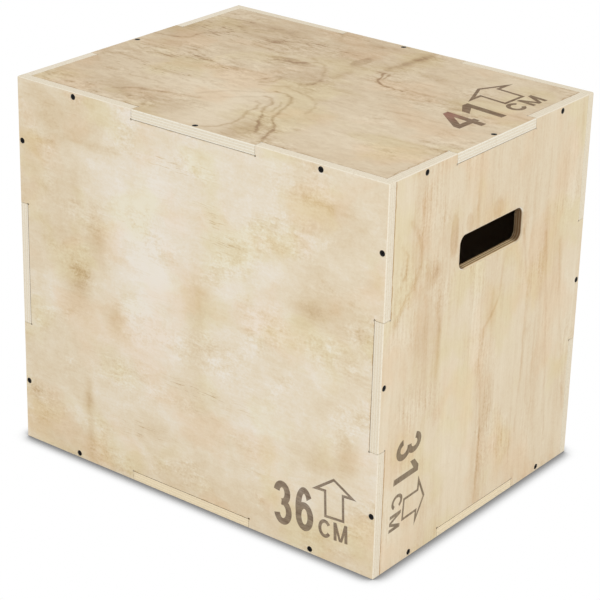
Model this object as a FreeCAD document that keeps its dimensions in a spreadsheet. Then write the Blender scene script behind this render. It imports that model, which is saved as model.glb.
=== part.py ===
import FreeCAD, Part
import os
import Sketcher

# Plyo box: six plywood panels that interlock with finger joints and are held by
# countersunk wood screws. It can stand on any of three sides for three jump heights.
# Millimetres. X runs along the length, Y from front to back, Z up from the floor.

Vector = FreeCAD.Vector
Rotation = FreeCAD.Rotation
doc = FreeCAD.newDocument("plyo_box")

# Driving sizes
driving_sizes = {
    # the three jump heights, which are the outside of the box
    "box_length": 410,
    "box_depth": 310,
    "box_height": 360,
    # plywood, and the middle tab on the box edges that run in each direction
    "ply_thickness": 9,
    "length_tab": 137,
    "depth_tab": 120,
    "height_tab": 120,
    # room left at the flanks of a tab and behind it, so that it slips into its notch
    "joint_clearance": 0.4,
    # round relief that the cutter leaves in each inside corner of an outline
    "relief_radius": 1.1,
    # bevel of the twelve outer edges of the box
    "edge_easing": 0.8,
    # hand hole in each end panel, its level measured from the floor to its middle
    "hand_hole_width": 95,
    "hand_hole_height": 30,
    "hand_hole_corner": 7,
    "hand_hole_rim": 1.5,
    "hand_hole_level": 267,
    # wood screw with a right-angled countersunk head and a cross recess
    "screw_diameter": 3,
    "screw_length": 30,
    "screw_point": 1.1,
    "head_diameter": 5.6,
    "head_land": 0.3,
    "head_sink": 0.2,
    "screw_clearance": 0.1,
    "recess_length": 3,
    "recess_width": 0.8,
    "recess_depth": 1,
    # how far a cut starts outside the face that it opens
    "overrun": 2,
}

sheet = doc.addObject("Spreadsheet::Sheet", "Sizes")
for row, (alias, size) in enumerate(driving_sizes.items(), start=1):
    sheet.set(f"A{row}", alias)
    sheet.set(f"B{row}", str(size))
    sheet.setAlias(f"B{row}", alias)
doc.recompute()

length = "Sizes.box_length"
depth = "Sizes.box_depth"
height = "Sizes.box_height"
ply = "Sizes.ply_thickness"
gap = "Sizes.joint_clearance"
overrun = "Sizes.overrun"

head_radius = "Sizes.head_diameter / 2"
shank_radius = "Sizes.screw_diameter / 2"

# Small round things that repeat have this many flat sides, half a side round from the X
# axis. A flat side lies this share of the radius from the middle.
round_sides = 10
half_share = 0.5
flat_share = f"cos({360 * half_share / round_sides} deg)"

# Points closer than this share of the box length count as one place
same_place_share = 1e-6
same_place = same_place_share * sheet.box_length

# Finger joints by the direction of their box edge: the middle tab's length, and how far
# the two outer screws lie from the middle of the edge
along_length = {"tab": "Sizes.length_tab", "spot": f"({length} + Sizes.length_tab) / 4"}
along_depth = {"tab": "Sizes.depth_tab", "spot": f"({depth} - 2 * {ply} + Sizes.depth_tab) / 4"}
along_height = {"tab": "Sizes.height_tab", "spot": f"({height} + Sizes.height_tab) / 4"}

# Three panel designs, each used twice. A panel lies in its own X and Y with its outer
# face up. Across and along are its outside spans, the sides are its edges at plus and
# minus X, the ends those at plus and minus Y. A notched edge keeps its outer thirds and
# takes the other panel's middle tab, and a tabbed edge has the middle tab itself.
wall_design = {
    "across": length,
    "along": height,
    "sides": ("notched", along_height),
    "ends": ("notched", along_length),
}
end_design = {
    "across": depth,
    "along": height,
    "sides": ("tabbed", along_height),
    "ends": ("notched", along_depth),
}
lid_design = {
    "across": length,
    "along": depth,
    "sides": ("tabbed", along_depth),
    "ends": ("tabbed", along_length),
}


# The negative of a size
def minus(size):
    return f"-({size})"


def origin_plane(body, role):
    return next(plane for plane in body.Origin.OriginFeatures if plane.Role == role)


# Ties one point of the sketch to a place given from the sketch's origin
def hold_point(sketch, geometry, point, place):
    for direction, size in zip(("DistanceX", "DistanceY"), place):
        held = Sketcher.Constraint(direction, -1, 1, geometry, point, 0)
        number = sketch.addConstraint(held)
        sketch.setExpression(f"Constraints[{number}]", size)


# A closed outline through the given places, parallel to the body's X and Y at a level. It
# is drawn as a regular shape inside the unit circle, which the sizes then stretch.
def outline(body, name, level, places):
    sketch = body.newObject("Sketcher::SketchObject", f"{body.Name}_{name}")
    sketch.AttachmentSupport = [(origin_plane(body, "XY_Plane"), "")]
    sketch.MapMode = "FlatFace"
    sketch.setExpression("AttachmentOffset.Base.z", level)
    sketch.Visibility = False
    count = len(places)
    turn = Rotation(Vector(0, 0, 1), 360 / count)
    corner = Vector(1, 0, 0)
    for place in places:
        following = turn.multVec(corner)
        sketch.addGeometry(Part.LineSegment(corner, following), False)
        corner = following
    for line, place in enumerate(places):
        joined = Sketcher.Constraint("Coincident", line, 2, (line + 1) % count, 1)
        sketch.addConstraint(joined)
    for line, place in enumerate(places):
        hold_point(sketch, line, 1, place)
    return sketch


# A rectangle between two opposite corners
def rectangle(body, name, level, low, high):
    places = [low, (high[0], low[1]), high, (low[0], high[1])]
    return outline(body, name, level, places)


# A rectangle about the body's middle, given by its corner at plus X and plus Y
def middle_rectangle(body, name, level, corner):
    return rectangle(body, name, level, tuple(map(minus, corner)), corner)


def pad(body, sketch, thickness):
    feature = body.newObject("PartDesign::Pad", f"{sketch.Name}_pad")
    feature.Profile = sketch
    feature.setExpression("Length", thickness)
    doc.recompute()
    return feature


# A cut down from the sketch, through everything or to a depth
def pocket(body, sketch, cut_depth=None):
    solid_before = body.Tip.Shape.Volume
    feature = body.newObject("PartDesign::Pocket", f"{sketch.Name}_cut")
    feature.Profile = sketch
    if cut_depth is None:
        feature.Type = "ThroughAll"
    else:
        feature.setExpression("Length", cut_depth)
    doc.recompute()
    if feature.Shape.Volume >= solid_before:
        raise RuntimeError(f"{feature.Name} removes nothing")
    return feature


# The same feature again on the other side of one of the body's origin planes
def mirror(body, feature, plane):
    copy = body.newObject("PartDesign::Mirrored", f"{feature.Name}_mirrored")
    copy.Originals = [feature]
    copy.MirrorPlane = (origin_plane(body, plane), [""])
    body.Tip = copy
    doc.recompute()
    return copy


# Rounds (Fillet) or bevels (Chamfer) the edges of the body that pass the test
def ease_edges(body, name, kind, size, wanted):
    base = body.Tip
    names = [f"Edge{number}" for number, edge in enumerate(base.Shape.Edges, start=1) if wanted(edge)]
    feature = body.newObject(f"PartDesign::{kind}", f"{body.Name}_{name}")
    feature.Base = (base, names)
    feature.setExpression({"Fillet": "Radius", "Chamfer": "Size"}[kind], size)
    doc.recompute()
    return feature


# True where both ends of an edge lie on the same two outer faces of the box
def on_box_edge(edge, placement):
    ends = [placement.multVec(vertex.Point) for vertex in edge.Vertexes]
    half_height = sheet.box_height / 2
    on_end = all(abs(abs(p.x) - sheet.box_length / 2) < same_place for p in ends)
    on_wall = all(abs(abs(p.y) - sheet.box_depth / 2) < same_place for p in ends)
    on_lid = all(abs(abs(p.z - half_height) - half_height) < same_place for p in ends)
    return [on_end, on_wall, on_lid].count(True) > 1


# A many-sided ring, flat sides towards X and Y
def ring(body, name, level, radius):
    angles = [f"{360 * (side + half_share) / round_sides} deg" for side in range(round_sides)]
    places = [(f"({radius}) * cos({angle})", f"({radius}) * sin({angle})") for angle in angles]
    return outline(body, name, level, places)


# Bevels the lowest edges of a body
def bevel_foot(body, name, size):
    foot = body.Tip.Shape.BoundBox.ZMin

    def is_foot(edge):
        return all(vertex.Point.z < foot + same_place for vertex in edge.Vertexes)

    ease_edges(body, name, "Chamfer", size, is_foot)


# A countersunk head on a shank, with some slack all round. The top of the screw's head is
# at the origin, and the head goes on up to a level above it.
def make_headed(name, slack, above):
    body = doc.addObject("PartDesign::Body", name)
    flare = f"({head_radius} - {shank_radius}) * {flat_share}"
    head_level = f"-Sizes.head_land - {flare}"
    pad(body, ring(body, "head", head_level, f"{head_radius} + {slack}"), f"{above} - ({head_level})")
    bevel_foot(body, "flare", flare)
    shank_level = f"-Sizes.screw_length - {slack}"
    pad(body, ring(body, "shank", shank_level, f"{shank_radius} + {slack}"), minus(shank_level))
    return body


# Wood screw with its point and a cross recess from two slots
def make_screw():
    body = make_headed("wood_screw", "0", "0")
    bevel_foot(body, "point", "Sizes.screw_point")
    half_length, half_width = "Sizes.recess_length / 2", "Sizes.recess_width / 2"
    for name, corner in (("slot", (half_length, half_width)), ("cross_slot", (half_width, half_length))):
        pocket(body, middle_rectangle(body, name, "0", corner), "Sizes.recess_depth")
    return body


# The countersunk hole for one screw
def make_drill():
    return make_headed("screw_drill", "Sizes.screw_clearance", f"Sizes.head_sink + {overrun}")


# The round cutter that leaves a relief in an inside corner
def make_corner_cutter():
    body = doc.addObject("PartDesign::Body", "corner_cutter")
    pad(body, ring(body, "edge", minus(overrun), "Sizes.relief_radius"), f"{ply} + 2 * {overrun}")
    return body


# The four inside corners on two opposite edges of a board, and where this board's own
# screws lie along each of them, as distances out from the middle and along the edge
def joint_places(kind, joint, span):
    half_tab = f"{joint['tab']} / 2"
    if kind == "notched":
        corner = (f"{span} / 2 - {ply} - {gap}", half_tab)
        spots = [joint["spot"], minus(joint["spot"])]
    else:
        corner = (f"{span} / 2 - {ply}", f"{half_tab} - {gap}")
        spots = ["0"]
    outs = (corner[0], minus(corner[0]))
    alongs = (corner[1], minus(corner[1]))
    return [(out, along) for out in outs for along in alongs], spots


# The tabs or notches of two opposite edges. The swap turns places from the edges at plus
# and minus X to those at plus and minus Y.
def cut_joints(body, name, kind, joint, span, mirror_plane, swap):
    half_tab = f"{joint['tab']} / 2"
    if kind == "tabbed":
        # A bar right across the board stands out at both edges
        corner = swap((f"{span} / 2", f"{half_tab} - {gap}"))
        pad(body, middle_rectangle(body, f"{name}_tabs", "0", corner), ply)
    else:
        low = swap((f"{span} / 2 - {ply} - {gap}", minus(half_tab)))
        high = swap((f"{span} / 2 + {overrun}", half_tab))
        notch = pocket(body, rectangle(body, f"{name}_notch", ply, low, high))
        mirror(body, notch, mirror_plane)


# One board with its tabs, notches and eased edges, placed in the box. Returns the body,
# the places of its inside corners and those of its own screws, edge by edge.
def make_board(name, design, turn, base):
    body = doc.addObject("PartDesign::Body", name)
    body.Placement = FreeCAD.Placement(Vector(0, 0, 0), turn)
    for axis, place in zip("xyz", base):
        body.setExpression(f"Placement.Base.{axis}", place)

    across, along = design["across"], design["along"]
    side_kind, side_joint = design["sides"]
    end_kind, end_joint = design["ends"]
    half_across = f"{across} / 2" if side_kind == "notched" else f"{across} / 2 - {ply}"
    half_along = f"{along} / 2" if end_kind == "notched" else f"{along} / 2 - {ply}"
    pad(body, middle_rectangle(body, "blank", "0", (half_across, half_along)), ply)
    cut_joints(body, "side", side_kind, side_joint, across, "YZ_Plane", lambda place: place)
    cut_joints(body, "end", end_kind, end_joint, along, "XZ_Plane", lambda place: place[::-1])

    def is_box_edge(edge):
        return on_box_edge(edge, body.Placement)

    ease_edges(body, "eased_edges", "Chamfer", "Sizes.edge_easing", is_box_edge)

    side_corners, side_spots = joint_places(side_kind, side_joint, across)
    end_corners, end_spots = joint_places(end_kind, end_joint, along)
    corners = side_corners + [place[::-1] for place in end_corners]
    side_row = f"{across} / 2 - {ply} / 2"
    end_row = f"{along} / 2 - {ply} / 2"
    screw_places = [
        [(side_row, spot) for spot in side_spots],
        [(minus(side_row), spot) for spot in side_spots],
        [(spot, end_row) for spot in end_spots],
        [(spot, minus(end_row)) for spot in end_spots],
    ]
    return body, corners, screw_places


# Hand hole with rounded corners and a bevelled rim on both faces
def cut_hand_hole(body):
    level = f"Sizes.hand_hole_level - {height} / 2"
    half_width = "Sizes.hand_hole_width / 2"
    low = (minus(half_width), f"{level} - Sizes.hand_hole_height / 2")
    high = (half_width, f"{level} + Sizes.hand_hole_height / 2")
    pocket(body, rectangle(body, "hand_hole", ply, low, high))

    middle = sheet.hand_hole_level - sheet.box_height / 2
    reach_across = sheet.hand_hole_width / 2 + same_place
    reach_along = sheet.hand_hole_height / 2 + same_place

    def in_hole(edge):
        points = [vertex.Point for vertex in edge.Vertexes]
        return all(abs(p.x) < reach_across and abs(p.y - middle) < reach_along for p in points)

    def is_corner(edge):
        levels = [vertex.Point.z for vertex in edge.Vertexes]
        return in_hole(edge) and max(levels) - min(levels) > same_place

    def is_rim(edge):
        return in_hole(edge) and not is_corner(edge)

    ease_edges(body, "hand_hole_corners", "Fillet", "Sizes.hand_hole_corner", is_corner)
    ease_edges(body, "hand_hole_rims", "Chamfer", "Sizes.hand_hole_rim", is_rim)


# A copy of a body at a place in a board's own X, Y and Z
def copy_at(name, original, board, place):
    copy = doc.addObject("App::Link", name)
    copy.LinkedObject = original
    seat = f"vector({'; '.join(place)})"
    unturned = "rotation(vector(0; 0; 1); 0)"
    copy.setExpression("Placement", f"{board.Name}.Placement * placement({seat}; {unturned})")
    return copy


# Separate solids held together under one name
def make_group(name, members):
    group = doc.addObject("Part::Compound", name)
    group.Label = name
    group.Links = members
    return group


# How each panel is turned from lying flat to its place in the box
upright = Rotation(Vector(1, 0, 0), 90)
facing_front = upright
facing_back = Rotation(Vector(0, 0, 1), 180).multiply(upright)
facing_right = Rotation(Vector(0, 0, 1), 90).multiply(upright)
facing_left = Rotation(Vector(0, 0, 1), -90).multiply(upright)
facing_up = Rotation(Vector(1, 0, 0), 0)
facing_down = Rotation(Vector(1, 0, 0), 180)

# The middle of each panel's inner face
wall_out = f"{depth} / 2 - {ply}"
end_out = f"{length} / 2 - {ply}"
mid_height = f"{height} / 2"
front_place = ("0", minus(wall_out), mid_height)
back_place = ("0", wall_out, mid_height)
left_place = (minus(end_out), "0", mid_height)
right_place = (end_out, "0", mid_height)
top_place = ("0", "0", f"{height} - {ply}")
bottom_place = ("0", "0", ply)

# The six panels: name, design, turn, place, and the neighbours at the edges that lie at
# plus X, minus X, plus Y and minus Y
panels = [
    ("front", wall_design, facing_front, front_place, ("right", "left", "top", "bottom")),
    ("back", wall_design, facing_back, back_place, ("left", "right", "top", "bottom")),
    ("left", end_design, facing_left, left_place, ("front", "back", "top", "bottom")),
    ("right", end_design, facing_right, right_place, ("back", "front", "top", "bottom")),
    ("top", lid_design, facing_up, top_place, ("right", "left", "back", "front")),
    ("bottom", lid_design, facing_down, bottom_place, ("right", "left", "front", "back")),
]

screw = make_screw()
drill = make_drill()
corner_cutter = make_corner_cutter()

# Each screw goes through its own panel into the neighbour's edge, so one drill cuts both
boards = {}
cutters = {panel[0]: [] for panel in panels}
screw_groups = []
for name, design, turn, base, neighbours in panels:
    board, corners, screw_places = make_board(f"{name}_board", design, turn, base)
    if design is end_design:
        cut_hand_hole(board)
    boards[name] = board
    for number, (across, along) in enumerate(corners, start=1):
        cutters[name].append(copy_at(f"{name}_relief_{number}", corner_cutter, board, (across, along, "0")))
    for neighbour, places in zip(neighbours, screw_places):
        screws = []
        for number, (across, along) in enumerate(places, start=1):
            seat = (across, along, f"{ply} - Sizes.head_sink")
            hole = copy_at(f"{name}_{neighbour}_hole_{number}", drill, board, seat)
            cutters[name].append(hole)
            cutters[neighbour].append(hole)
            screws.append(copy_at(f"{name}_{neighbour}_screw_{number}", screw, board, seat))
        kind = "screw" if len(places) == 1 else "screws"
        screw_groups.append(make_group(f"{name}_{neighbour}_{kind}", screws))

# Finished panels: the boards with their corner reliefs and screw holes cut
finished_panels = []
for name, board in boards.items():
    panel = doc.addObject("Part::Cut", f"{name}_panel")
    panel.Label = f"{name}_panel"
    panel.Base = board
    panel.Tool = make_group(f"{name}_cutters", cutters[name])
    finished_panels.append(panel)
doc.recompute()

# Every feature has to be sound before anything is written
subparts = finished_panels + screw_groups
for feature in doc.Objects:
    if "Invalid" in feature.State or "Error" in feature.State:
        raise RuntimeError(f"{feature.Name} did not build")
for subpart in subparts:
    if subpart.Shape.isNull() or not subpart.Shape.isValid():
        raise RuntimeError(f"{subpart.Label} has no sound shape")

os.makedirs("parts", exist_ok=True)
for subpart in subparts:
    subpart.Shape.exportStep(f"parts/{subpart.Label}.step")
print(f"wrote {len(subparts)} sub-parts")
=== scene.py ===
import math

import bmesh
import bpy
from mathutils import Matrix, Vector


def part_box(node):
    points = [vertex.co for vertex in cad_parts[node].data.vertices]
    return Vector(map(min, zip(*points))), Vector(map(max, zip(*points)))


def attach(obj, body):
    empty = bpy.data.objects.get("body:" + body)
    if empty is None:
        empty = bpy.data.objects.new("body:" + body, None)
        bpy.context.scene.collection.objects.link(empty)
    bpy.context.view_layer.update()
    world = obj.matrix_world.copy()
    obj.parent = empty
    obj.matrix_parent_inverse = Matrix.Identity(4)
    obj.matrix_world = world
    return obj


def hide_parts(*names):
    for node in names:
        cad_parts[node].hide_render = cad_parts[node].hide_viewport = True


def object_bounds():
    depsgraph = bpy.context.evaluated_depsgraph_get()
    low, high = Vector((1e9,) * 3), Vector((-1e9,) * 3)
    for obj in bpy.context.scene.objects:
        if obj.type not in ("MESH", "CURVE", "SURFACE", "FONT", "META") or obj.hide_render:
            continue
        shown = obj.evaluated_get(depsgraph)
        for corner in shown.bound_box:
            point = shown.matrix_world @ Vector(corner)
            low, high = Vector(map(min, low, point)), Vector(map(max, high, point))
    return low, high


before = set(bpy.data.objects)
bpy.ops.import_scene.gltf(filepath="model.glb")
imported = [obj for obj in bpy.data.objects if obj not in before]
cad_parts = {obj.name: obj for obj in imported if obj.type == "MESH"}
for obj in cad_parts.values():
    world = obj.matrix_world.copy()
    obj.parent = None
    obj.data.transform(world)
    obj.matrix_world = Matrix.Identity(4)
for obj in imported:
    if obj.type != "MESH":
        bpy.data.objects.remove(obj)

cadBox = [list(corner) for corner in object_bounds()]
boxLow, boxHigh = Vector(cadBox[0]), Vector(cadBox[1])
boxSize = boxHigh - boxLow
scene = bpy.context.scene
scene.view_settings.view_transform = "Standard"
mm = 0.001
weld = 0.001 * mm  # points nearer than this become one
white = (1.0, 1.0, 1.0, 1.0)


def paint(red, green, blue):  # a screen colour, 0 to 255, as the renderer's linear one
    channels = []
    for value in (red, green, blue):
        share = value / 255
        channels.append(share / 12.92 if share <= 0.04045 else ((share + 0.055) / 1.055) ** 2.4)
    return (*channels, 1.0)


# node helpers: inputs are given by name or number, as values or as sockets to link

def fill(tree, node, inputs):
    for name, value in inputs.items():
        if isinstance(value, bpy.types.NodeSocket):
            tree.links.new(value, node.inputs[name])
        else:
            node.inputs[name].default_value = value
    return node


def put(tree, kind, inputs=None, **attributes):
    node = tree.nodes.new(kind)
    for name, value in attributes.items():
        setattr(node, name, value)
    return fill(tree, node, inputs or {})


def calc(tree, operation, *values):
    return put(tree, "ShaderNodeMath", dict(enumerate(values)), operation=operation).outputs[0]


def vectorNode(tree, operation, *vectors):
    return put(tree, "ShaderNodeVectorMath", dict(enumerate(vectors)), operation=operation)


def reckon(tree, operation, *vectors):  # a vector from vectors
    return vectorNode(tree, operation, *vectors).outputs[0]


def gauge(tree, operation, *vectors):  # one number from vectors
    return vectorNode(tree, operation, *vectors).outputs["Value"]


def fade(tree, value, low, high, start=0.0, end=1.0):  # a soft step between two levels
    ends = {"Value": value, "From Min": low, "From Max": high, "To Min": start, "To Max": end}
    return put(tree, "ShaderNodeMapRange", ends, interpolation_type="SMOOTHSTEP").outputs[0]


def bell(tree, square):  # 1 in the middle, falling softly away
    return calc(tree, "EXPONENT", calc(tree, "MULTIPLY", square, -1.0))


def tint(tree, amount, first, second, mode="MIX"):
    inputs = {0: amount, 6: first, 7: second}  # the mix node's colour sockets
    return put(tree, "ShaderNodeMix", inputs, data_type="RGBA", blend_type=mode).outputs[2]


def noise(tree, place, detail=2.0, rough=0.5, warp=0.0):
    inputs = {"Vector": place, "Scale": 1.0, "Detail": detail, "Roughness": rough, "Distortion": warp}
    return put(tree, "ShaderNodeTexNoise", inputs).outputs


def spread(tree, place, cell, seed):  # a place counted in cells, moved on by a seed
    shift = put(tree, "ShaderNodeCombineXYZ", {"X": seed, "Y": seed, "Z": seed}).outputs[0]
    return reckon(tree, "ADD", reckon(tree, "DIVIDE", place, cell), shift)


def objectPlace(tree):
    return put(tree, "ShaderNodeTexCoord").outputs["Object"]


def newGroup(name, inputs, outputs):
    tree = bpy.data.node_groups.new(name, "ShaderNodeTree")
    for direction, sockets in (("INPUT", inputs), ("OUTPUT", outputs)):
        for socketName, kind in sockets.items():
            tree.interface.new_socket(socketName, in_out=direction, socket_type=f"NodeSocket{kind}")
    return tree, put(tree, "NodeGroupInput").outputs, put(tree, "NodeGroupOutput")


def finishGroup(tree, result, **outputs):
    fill(tree, result, outputs)
    return tree


def useGroup(tree, group, **inputs):
    return put(tree, "ShaderNodeGroup", inputs, node_tree=group).outputs


def newMaterial(name):
    material = bpy.data.materials.new(name)
    material.use_nodes = True
    tree = material.node_tree
    return material, tree, tree.nodes["Principled BSDF"]


def applyFinish(tree, shader, finish, colour, rough, relief):
    bumps = {"Strength": finish["bump"], "Distance": finish["bumpHeight"], "Height": relief}
    normal = put(tree, "ShaderNodeBump", bumps).outputs[0]
    fill(tree, shader, {"Base Color": colour, "Roughness": rough, "Normal": normal,
                        "Specular IOR Level": finish["specular"]})


# wood effects that several materials share; a place is (along the grain, across it, depth) in metres

grainLook = {
    "mottle": {"detail": 5.0, "rough": 0.6, "warp": 0.3},
    "patch": {"detail": 3.0}, "patchEdge": (0.48, 0.66),
    "ring": {"detail": 2.0, "rough": 0.45, "warp": 0.3}, "ringRise": 3.0, "ringDrop": (0.88, 1.0),
    "glueLine": (0.02, 0.14),  # shares of a layer on each side of the glue
    "pore": {"detail": 2.0, "rough": 0.6}, "poreSize": 1.1 * mm, "poreEdge": (0.5, 0.72),
}
noiseMiddle = 0.5
cellSockets = {"Place": "Vector", "Cell": "Vector", "Seed": "Float"}


def makeMottle():  # light and dark at the scale of a cell, from -0.5 to 0.5
    tree, given, result = newGroup("woodMottle", cellSockets, {"Tone": "Float"})
    cells = spread(tree, given["Place"], given["Cell"], given["Seed"])
    tone = calc(tree, "SUBTRACT", noise(tree, cells, **grainLook["mottle"])[0], noiseMiddle)
    return finishGroup(tree, result, Tone=tone)


def makePatches():  # patches of the surface where an effect shows
    tree, given, result = newGroup("woodPatches", cellSockets, {"Patch": "Float"})
    cells = spread(tree, given["Place"], given["Cell"], given["Seed"])
    patch = fade(tree, noise(tree, cells, **grainLook["patch"])[0], *grainLook["patchEdge"])
    return finishGroup(tree, result, Patch=patch)


def makeRings():  # growth lines: the height lines of a slow noise, crowded where Lift rises
    sockets = {**cellSockets, "Lift": "Float", "Count": "Float"}
    tree, given, result = newGroup("growthLines", sockets, {"Line": "Float"})
    cells = spread(tree, given["Place"], given["Cell"], given["Seed"])
    height = calc(tree, "ADD", noise(tree, cells, **grainLook["ring"])[0], given["Lift"])
    turn = calc(tree, "FRACT", calc(tree, "MULTIPLY", height, given["Count"]))
    drop = fade(tree, turn, *grainLook["ringDrop"], 1.0, 0.0)
    line = calc(tree, "MULTIPLY", calc(tree, "POWER", turn, grainLook["ringRise"]), drop)
    return finishGroup(tree, result, Line=line)


def makeSpot():  # a soft spot at a centre
    sockets = {"Place": "Vector", "Centre": "Vector", "Reach": "Vector"}
    tree, given, result = newGroup("softSpot", sockets, {"Spot": "Float"})
    offset = reckon(tree, "SUBTRACT", given["Place"], given["Centre"])
    offset = reckon(tree, "DIVIDE", offset, given["Reach"])
    return finishGroup(tree, result, Spot=bell(tree, gauge(tree, "DOT_PRODUCT", offset, offset)))


def makeStroke():  # a soft straight line of a given half width, from a start along a run
    sockets = {"Place": "Vector", "Start": "Vector", "Run": "Vector", "Width": "Float"}
    tree, given, result = newGroup("grainStroke", sockets, {"Stroke": "Float"})
    run = given["Run"]
    offset = reckon(tree, "SUBTRACT", given["Place"], given["Start"])
    ahead = gauge(tree, "DOT_PRODUCT", offset, run)
    share = calc(tree, "DIVIDE", ahead, gauge(tree, "DOT_PRODUCT", run, run))
    share = put(tree, "ShaderNodeClamp", {"Value": share}).outputs[0]
    nearest = put(tree, "ShaderNodeVectorMath", {0: run, "Scale": share}, operation="SCALE").outputs[0]
    off = calc(tree, "DIVIDE", gauge(tree, "DISTANCE", offset, nearest), given["Width"])
    return finishGroup(tree, result, Stroke=bell(tree, calc(tree, "MULTIPLY", off, off)))


def makePlies():  # the layers that a sawn edge shows, by depth
    sockets = {"Place": "Vector", "Depth": "Float", "Layer": "Float"}
    masks = {"Cross": "Float", "Glue": "Float", "Pores": "Float"}
    tree, given, result = newGroup("plyLayers", sockets, masks)
    layers = calc(tree, "DIVIDE", given["Depth"], given["Layer"])
    cross = calc(tree, "PINGPONG", calc(tree, "FLOOR", layers), 1.0)  # every other layer
    fromGlue = calc(tree, "PINGPONG", layers, 0.5)  # at most half a layer
    glue = fade(tree, fromGlue, *grainLook["glueLine"], 1.0, 0.0)
    grains = reckon(tree, "DIVIDE", given["Place"], (grainLook["poreSize"],) * 3)
    pores = fade(tree, noise(tree, grains, **grainLook["pore"])[0], *grainLook["poreEdge"])
    return finishGroup(tree, result, Cross=cross, Glue=glue, Pores=pores)


mottleGroup, patchGroup, ringsGroup = makeMottle(), makePatches(), makeRings()
spotGroup, strokeGroup, pliesGroup = makeSpot(), makeStroke(), makePlies()
print("wood effects ready")


# the hand holes: their walls are painted brown as shade, darkest at the ends and furthest in, behind a thin
# band of face veneer that is paler at the top and left as a painted highlight
# centre, reach and edge bound the wall on the panel's face

holeLook = {
    "centre": (267, 155), "reach": (26, 62), "edge": (0.2, 0.3),
    "long": paint(230, 208, 166), "cross": paint(172, 138, 94), "glueAndShadeBrown": paint(84, 56, 30),
    # a dark brown for the glue lines, which also paints shade at the wall's ends and towards the inner face
    "glueCover": 0.5, "end": (36 * mm, 45 * mm), "endShade": 0.78, "deepFrom": 5 * mm, "deepShade": 0.2,
    # a painted highlight: the pale tone of the band along the top and left
    "rim": paint(252, 246, 232), "rimDepth": (0.6 * mm, 1.3 * mm), "rimCover": 0.8,
    "upperHighlight": (8 * mm, 13 * mm), "leftHighlight": (-40 * mm, -45 * mm),
    "lastPly": (1.9 * mm, 1.3 * mm), "lastPlyCover": 0.9,  # from the inner face
}

# three kinds of face veneer; axes are along the grain, across it and through the panel
# tones go from pale to dark, coarse and fine are (cell, strength) of the mottling, in millimetres

wallVeneer = {  # front and back
    "axes": "XZY", "shake": 4,
    "tones": [paint(232, 224, 211), paint(224, 210, 185), paint(213, 193, 160), paint(190, 161, 122)],
    "coarse": [((110, 95), 0.9), ((40, 30), 0.55)],
    "fine": [((24, 9), 0.55), ((11, 17), 0.5), ((13, 3), 0.45), ((2.6, 2.2), 0.65)],
    "lineCell": (700, 120), "hairCell": (22, 1.1), "hairDepth": 0.5,
}
endVeneer = {  # right and left
    "axes": "ZYX", "shake": 3.5, "level": 0.30, "hole": holeLook,
    "tones": [paint(229, 216, 192), paint(221, 205, 177), paint(209, 184, 149), paint(183, 150, 112)],
    "coarse": [((260, 70), 0.6), ((60, 30), 0.25)],
    "fine": [((150, 9), 0.65), ((60, 2.2), 0.75), ((18, 8), 0.4), ((2.6, 2.2), 0.6)],
    "lineCell": (800, 70), "lineCount": 6.0, "lineDepth": 0.22, "hairCell": (30, 0.9), "hairDepth": 0.14,
}
deckVeneer = {  # top and bottom
    "axes": "XYZ", "shake": 9, "level": 0.34,
    "tones": [paint(222, 206, 179), paint(210, 191, 161), paint(193, 169, 135), paint(160, 130, 95)],
    "coarse": [((110, 80), 0.7), ((44, 18), 0.5)],
    "fine": [((24, 9), 0.8), ((10, 5), 0.8), ((2.6, 2.2), 0.6)],
    "lineCount": 8.0, "hairCell": (15, 2.2), "hairDepth": 0.5,
}

# the six panels; places are millimetres along and across the grain from the box's low corner
# edge is the tone of the sawn edges, outward the way the face looks along the axis through the panel
# stains are soft and lenses have a clear rim, both (centre, reach, strength), and a strength below 0 is paler
# strokes are (points, half width, strength), and hairs are (centre, reach) of torn fibres
# swirls are (centre, reach, height) and crowd the growth lines

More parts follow.
